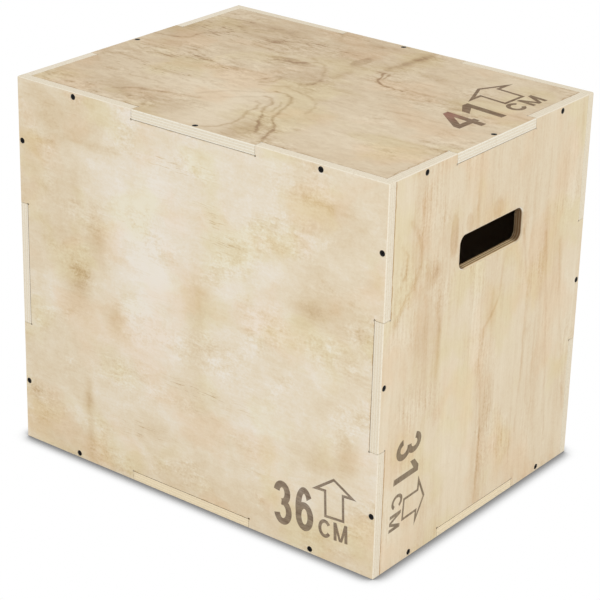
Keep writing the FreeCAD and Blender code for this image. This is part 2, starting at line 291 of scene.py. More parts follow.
panelLooks = {
    "front_panel": {
        **wallVeneer, "outward": -1, "edge": paint(232, 223, 204), "seed": 3.1, "level": 0.30,
        "stains": [
            ((95, 232), (13, 24), 0.42), ((70, 178), (18, 24), 0.50), ((116, 160), (11, 20), 0.36),
            ((345, 235), (40, 14), 0.30), ((332, 225), (18, 16), 0.20), ((378, 108), (12, 26), 0.36),
            ((350, 92), (18, 14), 0.24), ((150, 60), (34, 18), 0.20), ((82, 66), (5, 22), 0.40),
            ((84, 28), (6, 18), 0.26), ((25, 240), (40, 40), 0.16), ((60, 335), (50, 25), 0.16),
            ((100, 316), (36, 5), 0.22), ((375, 300), (30, 40), 0.16), ((350, 325), (30, 8), 0.20),
            ((215, 190), (14, 60), 0.20), ((205, 14), (230, 20), 0.24), ((20, 60), (50, 50), 0.16),
            ((60, 270), (16, 26), 0.16), ((158, 200), (34, 54), -0.26), ((272, 226), (40, 34), -0.24),
            ((180, 305), (60, 42), -0.24), ((290, 130), (60, 40), -0.14), ((125, 265), (20, 30), -0.20),
            ((38, 175), (16, 40), -0.14),
        ],
        "strokes": [  # painted shade in the gaps beside three of the tabs
            ([(400.9, 122), (400.9, 236)], 0.6, 0.7),
            ([(138, 350.9), (272, 350.9)], 0.6, 0.3),
            ([(138, 9.1), (272, 9.1)], 0.6, 0.4),
        ],
        "lineCount": 6.0, "lineDepth": 0.12,
        "hairs": [
            ((225, 283), (20, 10)), ((220, 115), (55, 6)), ((190, 320), (40, 6)), ((242, 264), (24, 8)),
            ((150, 55), (26, 10)),
        ],
    },
    "back_panel": {
        **wallVeneer, "outward": 1, "edge": paint(230, 221, 201), "seed": 11.7, "level": 0.32,
        "stains": [((290, 210), (44, 30), 0.28), ((110, 120), (50, 26), 0.26), ((210, 300), (60, 30), -0.2)],
        "lineCount": 7.0, "lineDepth": 0.16,
        "hairs": [((250, 120), (40, 8)), ((120, 260), (30, 9))],
    },
    "right_panel": {
        **endVeneer, "outward": 1, "edge": paint(231, 222, 203), "seed": 5.3,
        "stains": [
            ((263, 70), (9, 9), 0.24), ((195, 81), (46, 3.5), 0.36), ((205, 56), (50, 22), 0.24),
            ((90, 160), (90, 10), 0.18), ((50, 195), (24, 7), 0.20), ((300, 150), (60, 80), 0.10),
            ((120, 30), (40, 12), 0.14), ((150, 120), (60, 40), -0.14), ((60, 110), (50, 30), -0.10),
            ((150, 240), (120, 14), 0.10),
        ],
        "lenses": [
            ((287, 97), (20, 6), 0.26), ((292, 119), (9, 5), 0.20), ((293, 163), (10, 8), 0.18),
            ((262, 66), (14, 9), 0.12),
        ],
        "strokes": [
            ([(240, 9.5), (360, 9.5)], 0.7, 1.0),  # painted shade in the gaps beside the front panel's edge
            ([(0, 9.5), (120, 9.5)], 0.7, 1.0),
            ([(318, 33), (304, 44), (290, 50), (276, 50), (262, 43), (250, 28), (232, 17)], 3.2, 0.23),
            ([(300, 22), (290, 30), (276, 30), (262, 20)], 2.0, 0.18),
            ([(245, 178), (208, 174), (196, 166), (184, 152), (150, 148), (110, 153), (70, 155), (12, 152)],
             1.8, 0.20),
            ([(196, 160), (178, 150), (150, 144), (110, 148), (70, 151), (12, 148)], 5.0, 0.12),
            ([(260, 207), (200, 219), (120, 218), (60, 214)], 2.0, 0.20),
            ([(245, 246), (190, 252), (130, 258), (30, 268)], 2.0, 0.18),
            ([(230, 270), (150, 280), (100, 290), (50, 298)], 2.0, 0.14),
        ],
    },
    "left_panel": {
        **endVeneer, "outward": -1, "edge": paint(236, 228, 211), "seed": 17.9,
        "stains": [((120, 200), (80, 10), 0.22), ((230, 60), (50, 9), 0.22)],
        "lenses": [((310, 240), (18, 6), 0.22)],
        "strokes": [
            ([(330, 90), (240, 96), (190, 84), (60, 92)], 2.2, 0.22),
            ([(200, 230), (120, 238), (20, 228)], 2.0, 0.2),
        ],
    },
    "top_panel": {
        **deckVeneer, "outward": 1, "edge": paint(234, 228, 212), "seed": 8.2,
        "stains": [
            ((240, 275), (9, 40), 0.34), ((195, 168), (28, 22), 0.22), ((90, 152), (14, 5), 0.34),
            ((214, 205), (6, 18), 0.22), ((95, 255), (130, 45), 0.18), ((15, 205), (26, 40), 0.26),
            ((120, 40), (50, 14), 0.18), ((150, 95), (46, 30), -0.18), ((192, 70), (18, 50), -0.22),
            ((200, 20), (24, 30), -0.12), ((310, 60), (70, 50), -0.14), ((95, 101), (22, 4), 0.30),
            ((285, 247), (20, 6), 0.26), ((245, 25), (14, 22), 0.20), ((200, 295), (22, 10), 0.24),
            ((100, 238), (26, 5), 0.26), ((60, 270), (40, 5), 0.24),
        ],
        "lenses": [
            ((204, 240), (7, 16), 0.26), ((156, 200), (26, 7), 0.30), ((238, 32), (12, 30), 0.12),
            ((176, 145), (9, 16), 0.14),
        ],
        "strokes": [
            ([(9, 9.4), (135, 9.4)], 0.7, 0.5),  # painted shade in the gaps beside the neighbours' edges
            ([(275, 9.4), (400, 9.4)], 0.7, 0.5),
            ([(400.6, 9), (400.6, 94)], 0.7, 0.4),
            ([(400.6, 216), (400.6, 301)], 0.7, 0.4),
            ([(150, 72), (168, 95), (190, 110), (201, 119)], 2.0, 0.26),  # the swirl of growth lines
            ([(201, 119), (210, 121), (221, 115), (230, 104), (234, 88), (236, 76), (242, 63), (252, 51),
              (262, 38), (271, 8)], 1.8, 0.44),
            ([(174, 76), (188, 92), (200, 103)], 1.8, 0.24),
            ([(200, 103), (208, 104), (215, 96), (218, 85), (221, 74), (229, 64), (236, 51), (246, 38),
              (252, 26)], 1.8, 0.42),
            ([(203, 88), (210, 85), (215, 74), (215, 60), (220, 49), (224, 30), (220, 15), (211, 7)],
             1.8, 0.38),
            ([(222, 101), (228, 88), (229, 76)], 1.7, 0.32),
            ([(175, 126), (197, 137), (217, 133), (233, 128), (245, 120), (252, 105), (256, 90)], 1.8, 0.24),
            ([(160, 64), (130, 54), (100, 47), (86, 34)], 2.0, 0.24),
            ([(240, 226), (247, 206), (262, 198), (282, 196)], 1.5, 0.60),  # a dark hook and what lies round it
            ([(246, 226), (249, 214)], 1.4, 0.50),
            ([(238, 224), (234, 250), (242, 300)], 4.0, 0.20),
            ([(140, 193), (160, 199), (174, 212)], 2.0, 0.34),
            ([(163, 221), (187, 207), (200, 188), (212, 170), (208, 155)], 2.4, 0.24),
            ([(166, 132), (168, 148), (176, 156), (181, 142), (172, 132)], 1.6, 0.24),
            ([(110, 245), (128, 252), (142, 248)], 1.8, 0.26),
            ([(66, 256), (84, 262)], 2.0, 0.26),
            ([(96, 217), (120, 214)], 2.0, 0.26),
            ([(282, 201), (330, 200), (410, 206)], 3.0, 0.18),
            ([(285, 142), (305, 144), (330, 150), (362, 147)], 2.0, 0.22),
            ([(300, 88), (410, 90)], 2.4, 0.14),
            ([(0, 182), (24, 185), (34, 194), (38, 214), (52, 232)], 2.0, 0.26),
            ([(40, 134), (66, 138)], 2.0, 0.26),
            ([(20, 112), (60, 110)], 1.8, 0.20),
            ([(70, 71), (110, 73)], 1.6, 0.22),
        ],
        "lineCell": (600, 90), "lineDepth": 0.14,
        "hairs": [((80, 100), (60, 14)), ((85, 150), (60, 12)), ((60, 230), (60, 20)), ((150, 250), (50, 14))],
    },
    "bottom_panel": {
        **deckVeneer, "outward": -1, "edge": paint(240, 226, 196), "seed": 23.4,
        "stains": [((280, 110), (50, 20), 0.26), ((120, 220), (40, 14), 0.24), ((200, 60), (60, 40), -0.15)],
        "swirls": [((140, 150), (70, 50), 0.5)],
        "lineCell": (700, 160), "lineDepth": 0.25,
        "hairs": [((280, 200), (60, 14)), ((90, 80), (60, 12))],
    },
}


def flat(pair):  # a given pair of millimetres as a place with no depth
    return (pair[0] * mm, pair[1] * mm, 0.0)


def cellOf(pair):  # the same for a cell, whose depth is far larger than a panel
    return (pair[0] * mm, pair[1] * mm, 1.0)


def axisNumbers(look):
    return ["XYZ".index(axis) for axis in look["axes"]]


def panelPlace(tree, look):  # the place on a panel and its depth under the outer face
    measured = reckon(tree, "SUBTRACT", objectPlace(tree), boxLow)
    split = put(tree, "ShaderNodeSeparateXYZ", {0: measured}).outputs
    along, across, through = axisNumbers(look)
    depth = split[through]
    if look["outward"] > 0:
        depth = calc(tree, "SUBTRACT", boxSize[through], depth)
    face = put(tree, "ShaderNodeCombineXYZ", {"X": split[along], "Y": split[across]}).outputs[0]
    return face, depth


def mottleAt(tree, place, cell, seed):
    return useGroup(tree, mottleGroup, Place=place, Cell=cellOf(cell), Seed=seed)["Tone"]


def patchAt(tree, place, cell, seed):
    return useGroup(tree, patchGroup, Place=place, Cell=cellOf(cell), Seed=seed)["Patch"]


def spotAt(tree, place, centre, reach):
    return useGroup(tree, spotGroup, Place=place, Centre=flat(centre), Reach=cellOf(reach))["Spot"]


def strokeAt(tree, place, points, width):  # a soft line through a few points
    drawn = 0.0
    for start, end in zip(points, points[1:]):
        run = Vector(flat(end)) - Vector(flat(start))
        stroke = useGroup(tree, strokeGroup, Place=place, Start=flat(start), Run=run, Width=width * mm)
        drawn = calc(tree, "MAXIMUM", drawn, stroke["Stroke"])
    return drawn


# what the face veneers have in common; windows, cells and sways are millimetres
# each effect moves the panel's seed on by its own step

veneerLook = {
    "rippleCell": (34, 20), "ripple": {"detail": 4.0, "rough": 0.6}, "tornSway": (30, 21), "bentSway": (9, 6.3),
    "shakeCell": (12, 12), "shake": {"detail": 3.0},
    "roughWindow": (60, 45), "roughLeast": 0.6, "lensRim": (0.2, 0.55),
    "lineWindow": (120, 60), "hairWindow": (70, 26), "hairEdge": (0.04, 0.2),
    "strayHairs": 0.35, "tornHairs": 2.2, "toneStops": (0.33, 0.66),
    "castWindow": (70, 60), "casts": [paint(255, 247, 240), paint(252, 252, 238)], "castStrength": 0.8,
}
seedSteps = {
    "shake": 5, "rough": 20, "fine": 30, "ink": 31, "fibre": 50, "lines": 70, "hairs": 90, "casts": 110,
    "nextMottle": 7, "nextCast": 13,
}


def swayed(tree, face, cell, seed, ripple, *sways):  # the places of a face, moved about by a noise
    moves = noise(tree, spread(tree, face, cellOf(cell), seed), **ripple)[1]
    moves = reckon(tree, "SUBTRACT", moves, (noiseMiddle,) * 3)
    return [reckon(tree, "MULTIPLY_ADD", moves, flat(sway), face) for sway in sways]


def mottled(tree, look, face, torn, bent):  # broad clouds, and a finer mottling that is rough in places
    common, seed, shade = veneerLook, look["seed"], look["level"]
    rough = patchAt(tree, face, common["roughWindow"], seed + seedSteps["rough"])
    rough = calc(tree, "ADD", rough, common["roughLeast"])
    for step, (cell, strength) in enumerate(look["coarse"]):
        tone = mottleAt(tree, torn, cell, seed + seedSteps["nextMottle"] * step)
        shade = calc(tree, "MULTIPLY_ADD", tone, strength, shade)
    for step, (cell, strength) in enumerate(look["fine"]):
        tone = mottleAt(tree, bent, cell, seed + seedSteps["fine"] + seedSteps["nextMottle"] * step)
        shade = calc(tree, "MULTIPLY_ADD", calc(tree, "MULTIPLY", tone, strength), rough, shade)
    return shade


def figured(tree, look, bent, shaky, shade):  # the stains, lenses and strokes listed for the panel
    for centre, reach, strength in look["stains"]:
        shade = calc(tree, "MULTIPLY_ADD", spotAt(tree, bent, centre, reach), strength, shade)
    for centre, reach, strength in look.get("lenses", []):
        lens = fade(tree, spotAt(tree, shaky, centre, reach), *veneerLook["lensRim"])
        shade = calc(tree, "MULTIPLY_ADD", lens, strength, shade)
    for points, width, strength in look.get("strokes", []):
        shade = calc(tree, "MULTIPLY_ADD", strokeAt(tree, shaky, points, width), strength, shade)
    return shade


def lined(tree, look, face, bent, shade):  # growth lines that come and go
    lift, seed = 0.0, look["seed"]
    for centre, reach, height in look.get("swirls", []):
        lift = calc(tree, "MULTIPLY_ADD", spotAt(tree, bent, centre, reach), height, lift)
    line = useGroup(tree, ringsGroup, Place=bent, Cell=cellOf(look["lineCell"]), Seed=seed,
                    Lift=lift, Count=look["lineCount"])["Line"]
    window = patchAt(tree, face, veneerLook["lineWindow"], seed + seedSteps["lines"])
    return calc(tree, "MULTIPLY_ADD", calc(tree, "MULTIPLY", line, window), look["lineDepth"], shade)


def hairOn(tree, look, face, bent, fibre):  # dark fibres, few all over and more where the face is torn
    common = veneerLook
    hairy = patchAt(tree, face, common["hairWindow"], look["seed"] + seedSteps["hairs"])
    hairy = calc(tree, "MULTIPLY", hairy, common["strayHairs"])
    for centre, reach in look.get("hairs", []):
        spot = calc(tree, "MULTIPLY", spotAt(tree, bent, centre, reach), common["tornHairs"])
        hairy = calc(tree, "MAXIMUM", hairy, spot)
    return calc(tree, "MULTIPLY", fade(tree, fibre, *common["hairEdge"]), hairy)


def toned(tree, look, torn, shade):  # the shade as wood colour, with faint pink and yellow casts
    common, tones = veneerLook, look["tones"]
    ramp = put(tree, "ShaderNodeValToRGB", {0: shade})
    stops = ramp.color_ramp.elements
    stops[0].color, stops[1].color = tones[0], tones[3]
    for position, tone in zip(common["toneStops"], tones[1:3]):
        stops.new(position).color = tone
    colour = ramp.outputs[0]
    for step, tone in enumerate(common["casts"]):
        seed = look["seed"] + seedSteps["casts"] + seedSteps["nextCast"] * step
        cast = calc(tree, "MULTIPLY", patchAt(tree, torn, common["castWindow"], seed), common["castStrength"])
        colour = tint(tree, cast, colour, tone, "MULTIPLY")
    return colour


def makeVeneer(node, look):  # a panel's face veneer, which the wood and the ink on it share
    outputs = {"Colour": "Color", "Fibre": "Float", "Hair": "Float"}
    tree, given, result = newGroup(f"veneer_{node}", {"Place": "Vector"}, outputs)
    face, seed, common = given["Place"], look["seed"], veneerLook
    torn, bent = swayed(tree, face, common["rippleCell"], seed, common["ripple"],
                        common["tornSway"], common["bentSway"])
    shaky = swayed(tree, face, common["shakeCell"], seed + seedSteps["shake"], common["shake"],
                   (look["shake"], look["shake"]))[0]
    shade = mottled(tree, look, face, torn, bent)
    shade = figured(tree, look, bent, shaky, shade)
    shade = lined(tree, look, face, bent, shade)
    fibre = mottleAt(tree, bent, look["hairCell"], seed + seedSteps["fibre"])
    hair = hairOn(tree, look, face, bent, fibre)
    shade = calc(tree, "MULTIPLY_ADD", hair, look["hairDepth"], shade)
    return finishGroup(tree, result, Colour=toned(tree, look, torn, shade), Fibre=fibre, Hair=hair)


veneerGroups = {node: makeVeneer(node, look) for node, look in panelLooks.items()}
print("veneers ready")


# plywood: the veneer on the outer face, sawn layers on the edges, and bare inner faces painted dark brown as
# shade

plywoodLook = {
    "layers": 7, "skin": 0.1 * mm,
    "edgeMasks": {  # tone and strength
        "Cross": (paint(219, 203, 173), 0.42),
        "Pores": (paint(190, 166, 128), 0.35),
        "Glue": (paint(183, 157, 119), 0.36),
    },
    # the inner faces' dark brown is painted shade
    "inside": paint(112, 84, 56), "insideCover": 0.8,
    "rough": 0.6, "fibreRough": 0.25, "edgeRough": 0.14,
    "bump": 0.25, "bumpHeight": 0.3 * mm, "specular": 0.3,
}


def holeWall(tree, look, face, depth, thickness, plies, edge):  # the hand hole's wall in place of the sawn edge
    hole = look["hole"]
    offset = reckon(tree, "SUBTRACT", face, flat(hole["centre"]))
    offset = put(tree, "ShaderNodeSeparateXYZ", {0: offset}).outputs
    upwards, sideways = offset["X"], offset["Y"]
    wall = tint(tree, plies["Cross"], hole["long"], hole["cross"])
    wall = tint(tree, calc(tree, "MULTIPLY", plies["Glue"], hole["glueCover"]), wall, hole["glueAndShadeBrown"])
    # painted shade: the wall darkens towards its ends and towards the inner face
    atEnd = fade(tree, calc(tree, "ABSOLUTE", sideways), *hole["end"])
    deeperShade = fade(tree, depth, hole["deepFrom"], thickness, 0.0, hole["deepShade"])
    wall = tint(tree, calc(tree, "MULTIPLY_ADD", atEnd, hole["endShade"], deeperShade), wall, hole["glueAndShadeBrown"])
    # painted highlight: the band of face veneer is paler along the top and left
    atTop, atLeft = fade(tree, upwards, *hole["upperHighlight"]), fade(tree, sideways, *hole["leftHighlight"])
    rim = tint(tree, calc(tree, "MAXIMUM", atTop, atLeft), look["tones"][1], hole["rim"])
    wall = tint(tree, fade(tree, depth, *hole["rimDepth"], hole["rimCover"], 0.0), wall, rim)
    lastPly = (thickness - back for back in hole["lastPly"])
    wall = tint(tree, fade(tree, depth, *lastPly, 0.0, hole["lastPlyCover"]), wall, hole["long"])
    near = fade(tree, spotAt(tree, face, hole["centre"], hole["reach"]), *hole["edge"])
    return tint(tree, near, edge, wall)


def plywoodMaterial(node, look):
    finish = plywoodLook
    material, tree, shader = newMaterial(f"plywood_{node}")
    low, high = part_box(node)
    thickness = (high - low)[axisNumbers(look)[2]]
    face, depth = panelPlace(tree, look)
    veneer = useGroup(tree, veneerGroups[node], Place=face)

    layer = thickness / finish["layers"]
    plies = useGroup(tree, pliesGroup, Place=objectPlace(tree), Depth=depth, Layer=layer)
    edge = look["edge"]
    for mask, (tone, strength) in finish["edgeMasks"].items():
        edge = tint(tree, calc(tree, "MULTIPLY", plies[mask], strength), edge, tone)
    if "hole" in look:
        edge = holeWall(tree, look, face, depth, thickness, plies, edge)

    sawn = calc(tree, "GREATER_THAN", depth, finish["skin"])
    inside = calc(tree, "GREATER_THAN", depth, thickness - finish["skin"])
    onEdge = calc(tree, "SUBTRACT", sawn, inside)
    colour = tint(tree, onEdge, veneer["Colour"], edge)
    # painted shade: the inner faces turn dark brown
    colour = tint(tree, calc(tree, "MULTIPLY", inside, finish["insideCover"]), colour, finish["inside"])
    rough = calc(tree, "MULTIPLY_ADD", veneer["Fibre"], finish["fibreRough"], finish["rough"])
    rough = calc(tree, "MULTIPLY_ADD", onEdge, finish["edgeRough"], rough)
    relief = calc(tree, "SUBTRACT", veneer["Fibre"], veneer["Hair"])
    relief = calc(tree, "SUBTRACT", relief, calc(tree, "MULTIPLY", plies["Pores"], onEdge))
    applyFinish(tree, shader, finish, colour, rough, relief)
    return material


for node, look in panelLooks.items():
    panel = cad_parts[node]
    panel.data.materials.clear()
    panel.data.materials.append(plywoodMaterial(node, look))
    print("plywood on", node)


# new pieces: a mesh is made in its own small frame, moved to its place, and rides on the box

def finished(name, shape, material):
    bmesh.ops.recalc_face_normals(shape, faces=shape.faces)
    mesh = bpy.data.meshes.new(name)
    shape.to_mesh(mesh)
    shape.free()
    mesh.materials.append(material)
    piece = bpy.data.objects.new(name, mesh)
    scene.collection.objects.link(piece)
    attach(piece, "root")
    return piece


# screws: one countersunk head with a cross recess on a plain shank, turned to each place

screwLook = {
    "headLand": 0.3 * mm, "shankRadius": 1.45 * mm, "pointLength": 4 * mm, "rimBevel": 0.12 * mm,
    "recessLength": 3.4 * mm, "recessWidth": 0.75 * mm, "recessDepth": 1.1 * mm, "recessTaper": 0.45,
    "sides": 32, "solidSides": 10,  # round here, ten flat sides in the solids
    "sharpAngle": math.radians(30), "pairTurn": 0.5, "nameTurn": 0.9,  # each head stops at its own angle
}
steelLook = {
    "black": paint(10, 10, 10), "worn": paint(38, 36, 34), "wornCell": 0.9 * mm, "wornDetail": 3.0,
    "wornEdge": (0.5, 0.8), "rough": 0.55, "wornRough": -0.15,
    "bump": 0.3, "bumpHeight": 0.05 * mm, "specular": 0.15,
}
outwardAxes = {
    "front": Vector((0, -1, 0)), "back": Vector((0, 1, 0)), "left": Vector((-1, 0, 0)),
    "right": Vector((1, 0, 0)), "top": Vector((0, 0, 1)), "bottom": Vector((0, 0, -1)),
}


def blackSteel():
    finish = steelLook
    material, tree, shader = newMaterial("blackSteel")
    cells = reckon(tree, "DIVIDE", objectPlace(tree), (finish["wornCell"],) * 3)
    worn = fade(tree, noise(tree, cells, finish["wornDetail"])[0], *finish["wornEdge"])
    colour = tint(tree, worn, finish["black"], finish["worn"])
    rough = calc(tree, "MULTIPLY_ADD", worn, finish["wornRough"], finish["rough"])
    applyFinish(tree, shader, finish, colour, rough, worn)
    return material


def screwShape(headRadius, length):  # head up at the origin, the shank down along -Z
    look = screwLook
    foot = look["headLand"] + headRadius - look["shankRadius"]
    profile = [
        (0, 0), (headRadius, 0), (headRadius, -look["headLand"]), (look["shankRadius"], -foot),
        (look["shankRadius"], look["pointLength"] - length), (0, -length),
    ]
    shape = bmesh.new()
    points = [shape.verts.new((x, 0, z)) for x, z in profile]
    for first, second in zip(points, points[1:]):
        shape.edges.new((first, second))
    bmesh.ops.spin(shape, geom=shape.verts[:] + shape.edges[:], axis=(0, 0, 1), cent=(0, 0, 0),
                   angle=math.tau, steps=look["sides"], use_merge=True)
    bmesh.ops.remove_doubles(shape, verts=shape.verts, dist=weld)
    bmesh.ops.recalc_face_normals(shape, faces=shape.faces)
    outer = {vert for vert in shape.verts
             if vert.co.z > -look["headLand"] / 2 and vert.co.length > headRadius / 2}
    rim = [edge for edge in shape.edges if outer.issuperset(edge.verts)]
    bmesh.ops.bevel(shape, geom=rim, offset=look["rimBevel"], segments=2, profile=0.5,
                    affect="EDGES", material=-1)
    pole = min(shape.verts, key=lambda vert: vert.co.length)
    bmesh.ops.dissolve_verts(shape, verts=[pole])  # the head's top becomes one face
    return shape


def recessShape():  # a cross: four arms drawn out of a square bar, narrower downwards
    look = screwLook
    width, reach = look["recessWidth"], (look["recessLength"] - look["recessWidth"]) / 2
    shape = bmesh.new()
    bmesh.ops.create_cube(shape, size=1, matrix=Matrix.Diagonal((width, width, look["recessDepth"] * 2, 1)))
    sides = [face for face in shape.faces if not round(face.normal.z)]
    for arm in bmesh.ops.extrude_discrete_faces(shape, faces=sides)["faces"]:
        bmesh.ops.translate(shape, vec=arm.normal * reach, verts=arm.verts)
    foot = [vert for vert in shape.verts if vert.co.z < 0]
    bmesh.ops.scale(shape, vec=(look["recessTaper"], look["recessTaper"], 1), verts=foot)
    return shape


def cutRecess(shape):
    bodies = []
    for name, source in (("screwBlank", shape), ("recessCutter", recessShape())):
        body = bpy.data.objects.new(name, bpy.data.meshes.new(name))
        source.to_mesh(body.data)
        source.free()
        scene.collection.objects.link(body)
        bodies.append(body)
    blank, cutter = bodies
    cut = blank.modifiers.new("recess", "BOOLEAN")
    cut.object, cut.operation, cut.solver = cutter, "DIFFERENCE", "EXACT"
    result = bpy.data.meshes.new_from_object(blank.evaluated_get(bpy.context.evaluated_depsgraph_get()))
    for body in bodies:
        bpy.data.meshes.remove(body.data)
    return result


def screwPlaces(node):  # head centres of a node's one or two screws, the head radius and the length
    outward = outwardAxes[node.split("_")[0]]
    low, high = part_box(node)
    middle, reach = (low + high) / 2, (high - low) / 2
    across = [axis for axis in range(3) if not outward[axis]]
    headRadius = min(reach[axis] for axis in across)
    longAxis = max(across, key=lambda axis: reach[axis])
    halfLength = abs(reach.dot(outward))
    top = middle + outward * halfLength
    offset = Vector([reach[axis] - headRadius if axis == longAxis else 0 for axis in range(3)])
    centres = [top - offset, top + offset] if offset.length > headRadius else [top]
    return outward, centres, headRadius * math.cos(math.pi / screwLook["solidSides"]), 2 * halfLength


def addScrews():
    look, steel = screwLook, blackSteel()
    nodes = sorted(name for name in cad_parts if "screw" in name)
    headRadius, length = screwPlaces(nodes[0])[2:]  # all screws are alike
    pattern = cutRecess(screwShape(headRadius, length))
    for node in nodes:
        outward, centres = screwPlaces(node)[:2]
        facing = outward.to_track_quat("Z", "X").to_matrix().to_4x4()
        group = bmesh.new()
        for number, centre in enumerate(centres):
            turn = Matrix.Rotation(look["pairTurn"] * number + look["nameTurn"] * len(node), 4, "Z")
            before = len(group.verts)
            group.from_mesh(pattern)
            group.verts.ensure_lookup_table()
            place = Matrix.Translation(centre) @ facing @ turn
            bmesh.ops.transform(group, matrix=place, verts=group.verts[before:])
        piece = finished(node + "_visual", group, steel)
        piece.data.shade_smooth()
        piece.data.set_sharp_from_angle(angle=look["sharpAngle"])
        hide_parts(node)
    bpy.data.meshes.remove(pattern)


addScrews()
print("screws set")


# printed height marks: plain numbers, the unit and an outlined arrow, in brown ink that the grain shows through
# a glyph is (character, middle, size, stroke) and an arrow is placed by its tip, in millimetres from the box's
# low corner along the panel's two axes; slope and lean are the print's own slant

markLook = {"proud": 0.02 * mm, "thickness": 0.05 * mm, "layer": 0.004 * mm, "arcSteps": 36}
marks = {
    "front_panel": {
        "right": Vector((1, 0, 0)), "up": Vector((0, 0, 1)), "slope": 0.075, "lean": -0.05,
        "ink": paint(112, 94, 77),
        "glyphs": [
            ("3", (311.0, 39.3), (19.6, 42.5), 6.4), ("6", (334.8, 41.5), (19.4, 42.3), 6.4),
            ("C", (357.4, 30.8), (13.8, 17.6), 3.3), ("M", (374.3, 32.3), (14.8, 17.4), 3.2),
        ],
        "arrow": {"tip": (365.3, 82.3), "head": 15.3, "span": 47.5, "shaft": 21.5, "length": 39.6,
                  "line": 2.5},
    },
    "right_panel": {
        "right": Vector((0, 0, -1)), "up": Vector((0, 1, 0)), "slope": -0.08, "lean": -0.04,
        "ink": paint(112, 95, 74),
        "glyphs": [
            ("3", (110.8, 44.8), (20.0, 36.0), 5.8), ("1", (87.8, 42.8), (13.8, 36.0), 5.8),
            ("C", (63.0, 30.8), (14.0, 15.8), 3.1), ("M", (44.5, 28.8), (16.0, 16.0), 3.2),
        ],
        "arrow": {"tip": (52.7, 72.4), "head": 12.8, "span": 47.5, "shaft": 21.5, "length": 33.0,
                  "line": 2.4},
    },
    "top_panel": {
        "right": Vector((0, 1, 0)), "up": Vector((-1, 0, 0)), "slope": -0.03, "lean": 0.11,
        "ink": paint(101, 75, 50),
        "blush": {"centre": (349, 170), "reach": (13, 13), "ink": paint(136, 86, 70)},  # a redder place
        "glyphs": [
            ("4", (364.4, 163.2), (29.6, 43.0), 7.4), ("1", (364.8, 195.2), (20.6, 43.8), 7.8),
            ("C", (380.3, 228.4), (18.4, 18.8), 4.3), ("M", (381.5, 252.4), (22.0, 18.8), 4.4),
        ],
        "arrow": {"tip": (327.0, 247.6), "head": 15.5, "span": 69.0, "shaft": 30.0, "length": 43.2,
                  "line": 3.2},
    },
}
inkLook = {
    "cover": 0.86, "thinCell": (9, 5), "thinCover": 0.5, "fibreCover": -0.5, "rough": 0.62, "fibreRough": 0.3,
    "bump": 0.25, "bumpHeight": 0.3 * mm, "specular": 0.2,
}


def inkMaterial(node, mark):
    look, finish = panelLooks[node], inkLook
    material, tree, shader = newMaterial(f"ink_{node}")
    face = panelPlace(tree, look)[0]
    veneer = useGroup(tree, veneerGroups[node], Place=face)
    thin = mottleAt(tree, face, finish["thinCell"], look["seed"] + seedSteps["ink"])
    cover = calc(tree, "MULTIPLY_ADD", thin, finish["thinCover"], finish["cover"])
    cover = calc(tree, "MULTIPLY_ADD", veneer["Fibre"], finish["fibreCover"], cover)
    ink = mark["ink"]
    if "blush" in mark:
        blush = mark["blush"]
        ink = tint(tree, spotAt(tree, face, blush["centre"], blush["reach"]), ink, blush["ink"])
    colour = tint(tree, cover, veneer["Colour"], ink)
    rough = calc(tree, "MULTIPLY_ADD", veneer["Fibre"], finish["fibreRough"], finish["rough"])
    relief = calc(tree, "SUBTRACT", veneer["Fibre"], veneer["Hair"])
    applyFinish(tree, shader, finish, colour, rough, relief)
    return material


def bar(shape, points):  # one straight stroke, from its corners in millimetres
    return [shape.faces.new([shape.verts.new((x * mm, y * mm, 0)) for x, y in points])]


def bow(shape, centre, radii, stroke, begin, sweep):  # a stroke along an ellipse, between angles in degrees
    made = bmesh.ops.create_grid(shape, x_segments=markLook["arcSteps"], y_segments=1, size=1)["verts"]
    for vert in made:
        angle = math.radians(begin + sweep * (vert.co.x + 1) / 2)
        inset = stroke * (vert.co.y + 1) / 2
        x = centre[0] + (radii[0] - inset) * math.cos(angle)
        y = centre[1] + (radii[1] - inset) * math.sin(angle)
        vert.co = (x * mm, y * mm, 0)
    bmesh.ops.remove_doubles(shape, verts=made, dist=weld)  # a full ring closes
    return {face for vert in made if vert.is_valid for face in vert.link_faces}


# the characters: each draws its strokes about its middle, from half its width, half its height and the stroke
# bowls, stems and bars are shares of those; flags, slants and valleys are counted in strokes; arcs are degrees

glyphLook = {
    "3": {"upper": 0.24, "lower": 0.26, "shift": -0.05, "narrow": 0.93, "begin": (168, 98), "sweep": -266},
    "6": {"bowl": 0.33, "ring": (0, 360), "begin": 36, "sweep": 156},
    "C": {"begin": 33, "sweep": 294},
    "1": {"flagFoot": 2.3, "flagRoot": 1.3, "flagTop": 1.2},
    "4": {"stem": 0.3, "bar": -0.56, "barStroke": 0.9, "slantFoot": 1.25, "slantTop": 1.7},
    "M": {"valley": 0.9, "valleyFoot": 0.5},
}


def drawThree(shape, x, y, stroke, look):
    upper, lower = (look[name] * (2 * y + stroke) for name in ("upper", "lower"))
    shift, width, (first, second) = look["shift"] * x, look["narrow"] * x, look["begin"]
    return [bow(shape, (shift, y - upper), (width, upper), stroke, first, look["sweep"]),
            bow(shape, (0, lower - y), (x, lower), stroke, second, look["sweep"])]


def drawSix(shape, x, y, stroke, look):
    bowl = look["bowl"] * 2 * y
    return [bow(shape, (0, bowl - y), (x, bowl), stroke, *look["ring"]),
            bow(shape, (0, 0), (x, y), stroke, look["begin"], look["sweep"])]


def drawC(shape, x, y, stroke, look):
    return [bow(shape, (0, 0), (x, y), stroke, look["begin"], look["sweep"])]


def drawOne(shape, x, y, stroke, look):
    stem = x - stroke
    foot, root, top = (y - look[name] * stroke for name in ("flagFoot", "flagRoot", "flagTop"))
    return [bar(shape, [(stem, -y), (x, -y), (x, y), (stem, y)]),
            bar(shape, [(-x, foot), (stem, root), (stem, y), (-x, top)])]


